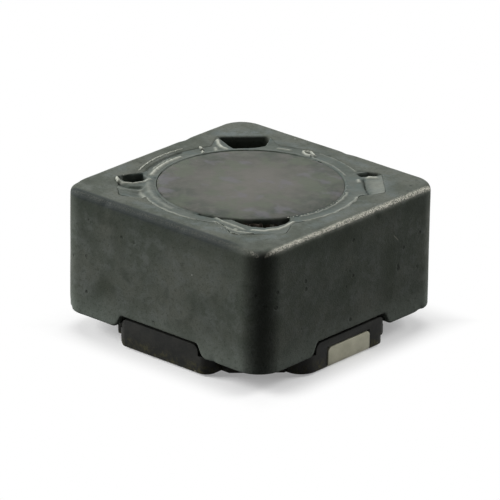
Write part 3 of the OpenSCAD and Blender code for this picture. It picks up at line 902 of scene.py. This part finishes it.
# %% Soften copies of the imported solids
def softened_copy(node, name, material, width, steps=3, reshape=None):
    """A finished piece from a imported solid: one clean skin with a narrow bevel at its edges."""
    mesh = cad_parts[node].data.copy()
    mesh.name = name
    mesh.materials.clear()
    mesh.materials.append(material)
    form = bmesh.new()
    form.from_mesh(mesh)
    bmesh.ops.remove_doubles(form, verts=form.verts, dist=SAME_POINT)
    bmesh.ops.dissolve_limit(form, angle_limit=math.radians(2), verts=form.verts, edges=form.edges)
    if reshape:
        for spot, across in (((0, LIFT_FROM_Y, 0), (0, 1, 0)),
                             ((-ARM_ROUND_FROM, 0, 0), (1, 0, 0))):
            bmesh.ops.bisect_plane(form, geom=form.verts[:] + form.edges[:] + form.faces[:],
                                   plane_co=Vector(spot) * MM, plane_no=across)
        for point in form.verts:
            point.co = reshape(point.co / MM) * MM
    form.to_mesh(mesh)
    form.free()
    piece = bpy.data.objects.new(name, mesh)
    bpy.context.scene.collection.objects.link(piece)
    bevel = piece.modifiers.new("soft_edge", "BEVEL")
    bevel.width, bevel.segments = width * MM, steps
    bevel.limit_method, bevel.angle_limit = "ANGLE", math.radians(35)
    bevel.harden_normals = False
    graph = bpy.context.evaluated_depsgraph_get()
    graph.update()
    finished = bpy.data.meshes.new_from_object(piece.evaluated_get(graph), depsgraph=graph)
    piece.modifiers.clear()
    piece.data = finished
    finished.shade_smooth()
    finished.set_sharp_from_angle(angle=math.radians(32))
    report_size(piece)
    return piece


ARM_SIDE, ARM_ROUND_FROM, FOOT_LIFT, LIFT_FROM_Y = 2.65, 2.15, 0.55, -5.4
HEADER_SOFT, CLIP_SOFT = 0.06, 0.028


def lift_foot_corner(point):
    """Lifts the lower outer corner of the arm towards -Y, as its mould leaves it rounded."""
    if point.y < LIFT_FROM_Y - 0.001 and point.x < -ARM_ROUND_FROM and point.z < EDGE_LOW / 2:
        point.z += FOOT_LIFT * ((-ARM_ROUND_FROM - point.x) / (ARM_SIDE - ARM_ROUND_FROM)) ** 2
    return point


header = softened_copy("header", "moulded_header", finish["moulded_header"], HEADER_SOFT,
                       reshape=lift_foot_corner)
clips = {node: softened_copy(node, name, finish["tinned_clip"], CLIP_SOFT, 2) for node, name in (
    ("start_terminal", "start_clip"), ("finish_terminal", "finish_clip"))}

# %% [markdown]
# ## The soldered ends
# Each end of the wire lies on its clip's ear under a drop of solder. Molten solder wets the metal,
# so a drop is no ball: its foot spreads out in a hollow curve. The profile of such a drop is carried
# round with the same tree that turned the drum, then pushed a little out of true.

# %% Set the drops of solder
def solder_drop(node, name):
    low, high = (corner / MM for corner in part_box(node))
    middle, radius, tall = (low + high) / 2, (high.x - low.x) / 2, high.z - low.z
    shape = [(0, 0), (1.0, 0.0), (0.99, 0.05), (0.95, 0.22), (0.86, 0.45), (0.72, 0.66), (0.52, 0.84),
             (0.28, 0.96), (0, 1.0)]
    start = strand(name, [(radius * r, 0, low.z + tall * z) for r, z in shape])
    piece = turning.grow(name, start, {"Steps": 48, "Material": finish["reflowed_solder"]})
    tidy_mesh(piece)
    points, out = mesh_arrays(piece)
    points[:, :2] += (middle.x, middle.y)
    move_points(piece, points - out * (0.025 * (1 + wander(points, 0.4, 9)))[:, None])
    report_size(piece)
    return piece


drops = {node: solder_drop(node, name) for node, name in (
    ("start_solder", "start_solder_drop"), ("finish_solder", "finish_solder_drop"))}

# %% [markdown]
# ## Crumbs of cured epoxy, with painted glints
# Small crumbs of epoxy stand along the drum's rim, and their pale colour is a painted glint. They
# repeat, so Geometry Nodes scatter them: points at even steps along the rim, each shifted, turned
# and scaled by fixed random numbers, each carrying one small rough crumb.

# %% Scatter the crumbs
scatter = ShapeTree("scatter_crumbs", {
    "Count": "NodeSocketInt", "Size": "NodeSocketFloat", "Stray": "NodeSocketFloat",
    "Material": "NodeSocketMaterial"})
line = scatter.node("GeometryNodeMeshToCurve", inputs={"Mesh": scatter.inputs["Geometry"]})
spots = scatter.node("GeometryNodeResampleCurve", {"mode": "COUNT"},
                     {"Curve": line, "Count": scatter.inputs["Count"]})
stray = scatter.node("ShaderNodeVectorMath", {"operation": "SCALE"}, {
    0: scatter.node("FunctionNodeRandomValue", {"data_type": "FLOAT_VECTOR"},
                    {"Min": (-1, -1, -0.15), "Max": (1, 1, 0.15), "Seed": 11}),
    "Scale": scatter.inputs["Stray"]})
strewn = scatter.node("GeometryNodeSetPosition", inputs={"Geometry": spots, "Offset": stray})
crumb = scatter.node("GeometryNodeMeshIcoSphere", inputs={"Radius": scatter.inputs["Size"],
                                                          "Subdivisions": 2})
sizes = scatter.node("FunctionNodeRandomValue", {"data_type": "FLOAT_VECTOR"},
                     {"Min": (0.4, 0.4, 0.3), "Max": (1.6, 1.0, 0.9), "Seed": 12})
turns = scatter.node("FunctionNodeRandomValue", {"data_type": "FLOAT_VECTOR"},
                     {"Max": (0.6, 0.6, 6.28), "Seed": 13})
crumbs_set = scatter.node("GeometryNodeInstanceOnPoints", inputs={
    "Points": strewn, "Instance": crumb, "Rotation": turns, "Scale": sizes})
scatter.finish(crumbs_set)
rim_arc = [(x, y, TOP - 0.01) for x, y in arc(FLANGE_R + 0.04, -26, 44, 40)]
glint_crumbs = scatter.grow("rim_glint_crumbs", strand("rim_arc", rim_arc), {
    "Count": 26, "Size": 0.034 * MM, "Stray": 0.05 * MM, "Material": finish["cured_epoxy"]})
tidy_mesh(glint_crumbs)
# The crumbs are painted pale: painted glints along the rim.
CRUMB_HIGHLIGHT = 1.6
mark(glint_crumbs, "painted_highlight", np.full(len(glint_crumbs.data.vertices), CRUMB_HIGHLIGHT))
report_size(glint_crumbs)

# %% [markdown]
# ## Writing a finish as a sum
# A finish is worked out from the place on the piece: clouds of tone, grain, pits and wear, each a
# texture node, added and multiplied. Written as Python, such a sum stays readable. The first class
# wraps an output of a node, so that `1 - mask` or `grain * 0.2` adds the Math nodes. The second is
# the finish itself: it adds any other node, and holds the shader's own sockets.

# %% Shader maths as Python
class Value:
    """One output socket in a finish, with the arithmetic that shader maths needs."""

    def __init__(self, owner, socket):
        self.owner, self.socket = owner, socket

    def math(self, operation, a, b=0.0, clamp=False):
        return self.owner.node("ShaderNodeMath", {"operation": operation, "use_clamp": clamp},
                               {0: a, 1: b})

    def __add__(self, other):
        return self.math("ADD", self, other)

    def __sub__(self, other):
        return self.math("SUBTRACT", self, other)

    def __rsub__(self, other):
        return self.math("SUBTRACT", other, self)

    def __mul__(self, other):
        return self.math("MULTIPLY", self, other)

    __radd__, __rmul__ = __add__, __mul__

    def clamped(self):
        return self.math("ADD", self, 0.0, clamp=True)

    def between(self, low, high):
        """0 where this is below low, 1 above high, smooth between."""
        return self.owner.node("ShaderNodeMapRange", {"interpolation_type": "SMOOTHSTEP"},
                               {"Value": self, "From Min": low, "From Max": high})


def tone(red, green, blue):
    """A colour given on the screen's scale from 0 to 255, as the linear colour that nodes use."""
    linear = [c / 255 / 12.92 if c <= 10 else ((c / 255 + 0.055) / 1.055) ** 2.4
              for c in (red, green, blue)]
    return (*linear, 1)


class Finish:
    """A material: its node tree, its shader, and the place on the piece in millimetres."""

    def __init__(self, label, roughness, metallic=0.0, specular=0.5, coat=0.0):
        self.material = finish[label]
        self.material.use_nodes = True
        self.tree = self.material.node_tree
        self.tree.nodes.clear()
        self.shader = self.tree.nodes.new("ShaderNodeBsdfPrincipled")
        for key, value in {"Roughness": roughness, "Metallic": metallic, "IOR": 1.5,
                           "Specular IOR Level": specular, "Coat Weight": coat,
                           "Coat Roughness": 0.2}.items():
            self.shader.inputs[key].default_value = value
        output = self.tree.nodes.new("ShaderNodeOutputMaterial")
        self.tree.links.new(self.shader.outputs[0], output.inputs[0])
        place = self.node("ShaderNodeTexCoord", output="Object")
        self.place = self.node("ShaderNodeVectorMath", {"operation": "SCALE"},
                               {0: place, "Scale": 1 / MM})

    def feed(self, socket, value):
        if isinstance(value, Value):
            self.tree.links.new(value.socket, socket)
        else:
            socket.default_value = value

    def node(self, kind, settings=None, inputs=None, output=0):
        node = self.tree.nodes.new(kind)
        for key, value in (settings or {}).items():
            setattr(node, key, value)
        for key, value in (inputs or {}).items():
            self.feed(node.inputs[key], value)
        return Value(self, node.outputs[output])

    def noise(self, size, detail=3.0, rough=0.55, place=None, distort=0.0):
        """Cloudy noise from 0 to 1, with clouds about size millimetres across."""
        return self.node("ShaderNodeTexNoise", None, {
            "Vector": place or self.place, "Scale": 1 / size, "Detail": detail,
            "Roughness": rough, "Distortion": distort})

    def spots(self, size, radius):
        """1 in scattered round spots, one to each cell of that size, and 0 elsewhere."""
        near = self.node("ShaderNodeTexVoronoi", None, {"Vector": self.place, "Scale": 1 / size})
        return 1 - near.between(radius * 0.6 / size, radius / size)

    def stretched(self, x, y, z):
        return self.node("ShaderNodeVectorMath", {"operation": "MULTIPLY"}, {0: self.place, 1: (x, y, z)})

    def blend(self, share, low, high):
        """The colour low where share is 0, and high where it is 1."""
        return self.node("ShaderNodeMix", {"data_type": "RGBA"}, {0: share, 6: low, 7: high}, output=2)

    def axis(self, label):
        return self.node("ShaderNodeSeparateXYZ", None, {0: self.place}, output=label)

    def height(self):
        return self.axis("Z")

    def math(self, operation, a, b=0.0):
        return Value(self, None).math(operation, a, b)

    def mark(self, name):
        return self.node("ShaderNodeAttribute", {"attribute_name": name}, output="Fac")

    def done(self, colour, roughness=None, bump=None, depth=0.01):
        """Feeds the shader; bump is a height whose full range is depth millimetres."""
        self.feed(self.shader.inputs["Base Color"], colour)
        if roughness is not None:
            self.feed(self.shader.inputs["Roughness"], roughness)
        if bump is not None:
            self.feed(self.shader.inputs["Normal"], self.node(
                "ShaderNodeBump", None, {"Strength": 1.0, "Distance": depth * MM, "Height": bump}))
        print(self.material.name, "has", len(self.tree.nodes), "nodes")


# %% [markdown]
# ## Ferrite: tumbled on the shield, ground on the drum
# Sintered ferrite is a dark grey ceramic with a faint green or brown cast. Tumbling leaves it dull
# and cloudy, with pits, a few pale specks, and rubbed edges where the lighter grain shows; the
# rubbed edge over the +X terminal also carries a painted highlight. The sides are painted lighter
# towards the bottom, as light from the floor makes them. The same recipe makes both cores; the
# ground face of the drum is a little warmer and more even.

# %% Finish the ferrite
ferrite = Finish("tumbled_ferrite", 0.5, specular=0.06)
cloud = ferrite.noise(2.6, 4, 0.6)
mottle = ferrite.noise(0.55, 4, 0.65)
grain = ferrite.noise(0.055, 2, 0.6)
dark_cloud = ferrite.noise(1.1, 4, 0.55).between(0.5, 0.7)
pits = ferrite.spots(0.9, 0.13) * ferrite.noise(1.7).between(0.48, 0.56) * mottle.between(0.35, 0.6)
specks = ferrite.spots(0.8, 0.05) * ferrite.noise(1.3).between(0.56, 0.62)
# Lighter top edge: worn grain plus a painted highlight.
wear_and_highlight = (ferrite.mark("edge_wear_and_highlight") * (0.12 + grain.between(0.44, 0.58) * 1.6)).clamped()
wiped_mask = (ferrite.mark("wiped") * mottle.between(0.3, 0.6)).clamped()
body = ferrite.blend(cloud.between(0.35, 0.65), tone(68, 73, 66), tone(84, 87, 80))
body = ferrite.blend(mottle.between(0.42, 0.68) * 0.65, body, tone(93, 97, 93))
body = ferrite.blend(dark_cloud * 0.6, body, tone(46, 51, 41))
# Painted light: the sides are lighter towards the bottom, as light from the floor makes them.
painted_floor_light = 1 - ferrite.height().between(0.6, 2.6)
body = ferrite.blend(painted_floor_light * (0.45 + mottle * 0.5), body, tone(104, 111, 104))
body = ferrite.blend(ferrite.noise(0.16, 2, 0.6).between(0.5, 0.7) * 0.4, body, tone(50, 55, 46))
below_edge = ferrite.height().between(TOP - 1.5, TOP - 0.4) * (
    1 - ferrite.height().between(TOP - 0.32, TOP - 0.2))
body = ferrite.blend((below_edge * (0.3 + mottle)).clamped() * 0.5, body, tone(42, 48, 40))
# Darker top edge on the -Y side.
body = ferrite.blend(ferrite.mark("dark_top_edge") * (0.5 + mottle * 0.4), body, tone(26, 33, 36))
body = ferrite.blend(wiped_mask * 0.55, body, tone(79, 89, 89))
body = ferrite.blend(pits * 0.7, body, tone(30, 33, 27))
body = ferrite.blend(specks * 0.6, body, tone(150, 152, 146))
body = ferrite.blend(wear_and_highlight, body, tone(204, 202, 188))
SCRATCH_Y, SCRATCH_Z = 2.85, 5.25
place_x, place_y = ferrite.axis("X"), ferrite.axis("Y")
off_line = ferrite.math("ABSOLUTE", (place_y - SCRATCH_Y) + (ferrite.height() - SCRATCH_Z))
scratch = (1 - off_line.between(0.02, 0.05)) * place_y.between(SCRATCH_Y - 0.03, SCRATCH_Y + 0.05) * (
    1 - place_y.between(SCRATCH_Y + 0.25, SCRATCH_Y + 0.37)) * place_x.between(6.0, 6.1)
body = ferrite.blend(scratch * 0.4, body, tone(150, 148, 136))
ferrite.done(body, 0.62 - wiped_mask * 0.25 - wear_and_highlight * 0.1,
             grain * 0.35 + mottle * 0.5 + cloud * 0.6 - pits * 0.5, 0.035)

ground = Finish("ground_ferrite", 0.5, specular=0.1)
cloud = ground.noise(2.0, 4, 0.6)
mottle = ground.noise(0.6, 4, 0.65, distort=0.4)
grain = ground.noise(0.055, 2, 0.6)
from_axis = ground.node("ShaderNodeVectorMath", {"operation": "LENGTH"}, {0: ground.stretched(1, 1, 0)},
                        output="Value")
worn_middle = 1 - (from_axis + mottle * 1.6).between(1.6, 4.8)
greenish = ground.noise(1.1, 3).between(0.48, 0.62)
bluish = ground.noise(0.9, 3, 0.5, ground.stretched(0.8, 1, 1)).between(0.54, 0.66)
specks = ground.spots(1.1, 0.05) * ground.noise(1.3).between(0.58, 0.64)
body = ground.blend(cloud.between(0.35, 0.65), tone(52, 58, 51), tone(70, 70, 65))
body = ground.blend(mottle.between(0.42, 0.66) * 0.5, body, tone(84, 83, 78))
body = ground.blend(worn_middle * (0.35 + cloud * 0.6), body, tone(89, 87, 82))
body = ground.blend(greenish * 0.6, body, tone(72, 79, 66))
body = ground.blend(bluish * 0.5, body, tone(88, 86, 92))
body = ground.blend(specks * 0.5, body, tone(140, 140, 132))
ground.done(body, 0.56 - cloud * 0.1, grain * 0.35 + mottle * 0.5, 0.025)

# %% [markdown]
# ## Epoxy, solder, tin, copper and the moulding
# The epoxy is a grey two-part resin: smooth, a little green or blue where it is thick, with a
# painted highlight where it stands in a ridge. The clips are matte tin over a fine rolling grain,
# the solder is brighter, the wire has a clear brown enamel, and the header is black moulded plastic
# with a film of brown flux left along its foot.

# %% Finish the small pieces
resin = Finish("cured_epoxy", 0.35, specular=0.13)
cloud = resin.noise(1.2, 3)
streak = resin.noise(0.18, 3, 0.6)
highlight_share = (resin.mark("painted_highlight") * (0.45 + streak)).clamped()
body = resin.blend(cloud.between(0.35, 0.65), tone(56, 63, 56), tone(72, 78, 72))
body = resin.blend(resin.noise(0.8, 3).between(0.5, 0.62) * 0.6, body, tone(60, 71, 68))
body = resin.blend(streak.between(0.42, 0.7) * 0.3, body, tone(84, 90, 84))
body = resin.blend(resin.mark("amber") * 0.8, body, tone(58, 46, 38))
# Painted highlight on the ridges, the sheen and the crumbs.
body = resin.blend(highlight_share * 0.85, body, tone(176, 178, 166))
resin.done(body, 0.3 + streak * 0.3, streak * 0.4 + cloud * 0.6, 0.03)

plastic = Finish("moulded_header", 0.5, specular=0.12)
fine = plastic.noise(0.06, 2)
patch = plastic.noise(0.5, 4, 0.65)
foot = 1 - plastic.height().between(0.25, 0.75)
flux = (foot * plastic.noise(0.16, 3, 0.7).between(0.42, 0.6) * patch.between(0.36, 0.56)).clamped()
body = plastic.blend(patch.between(0.35, 0.7), tone(26, 27, 25), tone(38, 38, 35))
body = plastic.blend(flux * 0.5, body, tone(78, 76, 50))
body = plastic.blend(foot * plastic.spots(0.5, 0.07) * 0.6, body, tone(140, 138, 120))
plastic.done(body, 0.4 + patch * 0.25, fine * 0.4 + patch * 0.6, 0.02)

tin = Finish("tinned_clip", 0.5, metallic=0.75, specular=0.4)
rolled = tin.noise(0.12, 3, 0.6, tin.stretched(1, 4, 0.7))
patch = tin.noise(0.7, 3)
body = tin.blend(patch.between(0.3, 0.7), tone(130, 129, 113), tone(148, 146, 130))
body = tin.blend(rolled.between(0.5, 0.8) * 0.3, body, tone(116, 116, 105))
tin.done(body, 0.42 + patch * 0.2, rolled * 0.5 + patch * 0.5, 0.012)

bright = Finish("reflowed_solder", 0.3, metallic=0.9)
patch = bright.noise(0.25, 3)
bright.done(bright.blend(patch, tone(168, 170, 168), tone(196, 197, 192)),
            0.25 + patch * 0.2, patch, 0.012)

copper = Finish("enamelled_copper", 0.35, metallic=0.8, coat=0.6)
patch = copper.noise(0.8, 3)
copper.done(copper.blend(patch, tone(118, 62, 34), tone(150, 84, 48)), 0.3 + patch * 0.15, patch, 0.006)

glue = Finish("core_adhesive", 0.5)
patch = glue.noise(0.4, 3)
glue.done(glue.blend(patch, tone(150, 150, 134), tone(176, 174, 156)), 0.45 + patch * 0.2, patch, 0.02)

# %% [markdown]
# ## Handing the finishes out
# The pieces that Geometry Nodes or the softened copies made already hold their finish. The lofted
# and turned pieces get theirs here, and so does the adhesive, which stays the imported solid.

# %% Give each piece its finish
for piece, label in ((shield, "tumbled_ferrite"), (drum, "ground_ferrite"), (epoxy, "cured_epoxy")):
    piece.data.materials.clear()
    piece.data.materials.append(finish[label])
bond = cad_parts["core_bond"]
for holder in bond.material_slots:
    holder.material = finish["core_adhesive"]
print(len(finish), "finishes are set")

# %% [markdown]
# ## Floor, lamps and surroundings
# The part stands on a plain pale floor in a white tent. A wide lamp above and behind lights the top,
# and one lamp on each side, a little behind the part, lights the two faces that show, so the corner
# between them stays dark. Rays that come straight from the camera, or from a gloss, see the floor
# and the surroundings white; soft light finds them darker, so that they don't fill the shadows.
# Round the part's foot the paper keeps the shadow, and a little further out it clears to white.

# %% Build the stage
def seen_directly(owner):
    """1 for rays from the camera, a gloss or a clear material, and 0 for soft light."""
    rays = [owner.node("ShaderNodeLightPath", output=label)
            for label in ("Is Camera Ray", "Is Glossy Ray", "Is Transmission Ray")]
    return (rays[0] + rays[1] + rays[2]).clamped()


FLOOR_HALF, FLOOR_DROP = 1.5, 2e-5
floor_mesh = bpy.data.meshes.new("floor")
floor_mesh.from_pydata([(x * FLOOR_HALF, y * FLOOR_HALF, -FLOOR_DROP) for x, y in
                        ((-1, -1), (1, -1), (1, 1), (-1, 1))], [], [(0, 1, 2, 3)])
floor = bpy.data.objects.new("floor", floor_mesh)
bpy.context.scene.collection.objects.link(floor)
finish["paper"] = bpy.data.materials.new("paper")
paper = Finish("paper", 0.9, specular=0.0)
SHOWN_LIGHT, SHOWN_GLOW, SOFT_LIGHT = 0.66, 0.28, 0.05
lit = paper.node("ShaderNodeBsdfDiffuse", None, {"Color": (SHOWN_LIGHT,) * 3 + (1,)})
glow = paper.node("ShaderNodeEmission", None, {"Strength": SHOWN_GLOW})
shown = paper.node("ShaderNodeAddShader", None, {0: lit, 1: glow})
dim = paper.node("ShaderNodeBsdfDiffuse", None, {"Color": (SOFT_LIGHT,) * 3 + (1,)})
CLEAR_FROM, CLEAR_BY = 5.9, 7.9
far_off = paper.math("MAXIMUM", paper.math("ABSOLUTE", paper.axis("X")),
                     paper.math("ABSOLUTE", paper.axis("Y")))
blank = paper.node("ShaderNodeEmission", None, {"Strength": 1.0})
faded = paper.node("ShaderNodeMixShader", None, {
    0: far_off.between(CLEAR_FROM, CLEAR_BY), 1: shown, 2: blank})
mixed = paper.node("ShaderNodeMixShader", None, {0: seen_directly(paper), 1: dim, 2: faded})
paper.tree.links.new(mixed.socket, paper.tree.nodes["Material Output"].inputs[0])
floor_mesh.materials.append(finish["paper"])

world = bpy.data.worlds.new("tent")
bpy.context.scene.world = world
world.use_nodes = True


class Surroundings(Finish):
    def __init__(self, world):
        self.tree = world.node_tree
        self.background = self.tree.nodes["Background"]


tent = Surroundings(world)
SOFT_FILL = 0.03
tent.feed(tent.background.inputs["Strength"], SOFT_FILL + seen_directly(tent) * (1 - SOFT_FILL))
tent.feed(tent.background.inputs["Color"], (1, 1, 1, 1))

# %% [markdown]
# ## The lamps
# Each lamp is a soft rectangle that faces the part from its own direction. Its size against its
# distance sets how soft the shadow is, and its power how light the face it serves becomes. The
# power is low, because a pale colour should render about as it is written.

# %% Hang the lamps
LAMPS = {
    "overhead": ((-0.50, 0.55, 1.15), 0.36, (0.28, 0.22), 0.62),
    "left_side": ((-0.86, -0.50, 0.46), 0.36, (0.22, 0.20), 2.06),
    "right_side": ((0.46, 0.84, 0.6), 0.36, (0.16, 0.16), 0.98),
}
for label, (way, distance, (wide, tall), watts) in LAMPS.items():
    lamp = bpy.data.lights.new(label, "AREA")
    lamp.shape, lamp.size, lamp.size_y, lamp.energy = "RECTANGLE", wide, tall, watts
    holder = bpy.data.objects.new(label, lamp)
    way = Vector(way).normalized()
    holder.location = way * distance
    holder.rotation_euler = way.to_track_quat("Z", "Y").to_euler()
    bpy.context.scene.collection.objects.link(holder)
bpy.context.scene.view_settings.view_transform = "Standard"
print(len(LAMPS), "lamps hang round the part")

# %% [markdown]
# ## The pieces ride on the part's body
# Each piece says which imported solid it stands for, which finish slot it takes, and that it rides on
# the part's one body. The imported solids that the pieces stand for are hidden.

# %% Ride and replace
PIECES = [(shield, "shield_ferrite", ["shield"]), (drum, "core_ferrite", ["drum_core"]),
          (wire, "enamelled_copper", ["winding"]), (header, "header_plastic", ["header"]),
          (epoxy, "epoxy", ["gap_epoxy"]), (glint_crumbs, "epoxy", []),
          (clips["start_terminal"], "tinned_metal", ["start_terminal"]),
          (clips["finish_terminal"], "tinned_metal", ["finish_terminal"]),
          (drops["start_solder"], "solder", ["start_solder"]),
          (drops["finish_solder"], "solder", ["finish_solder"])]
for piece, slot, nodes in PIECES:
    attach(piece, "root")
    if nodes:
        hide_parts(*nodes)
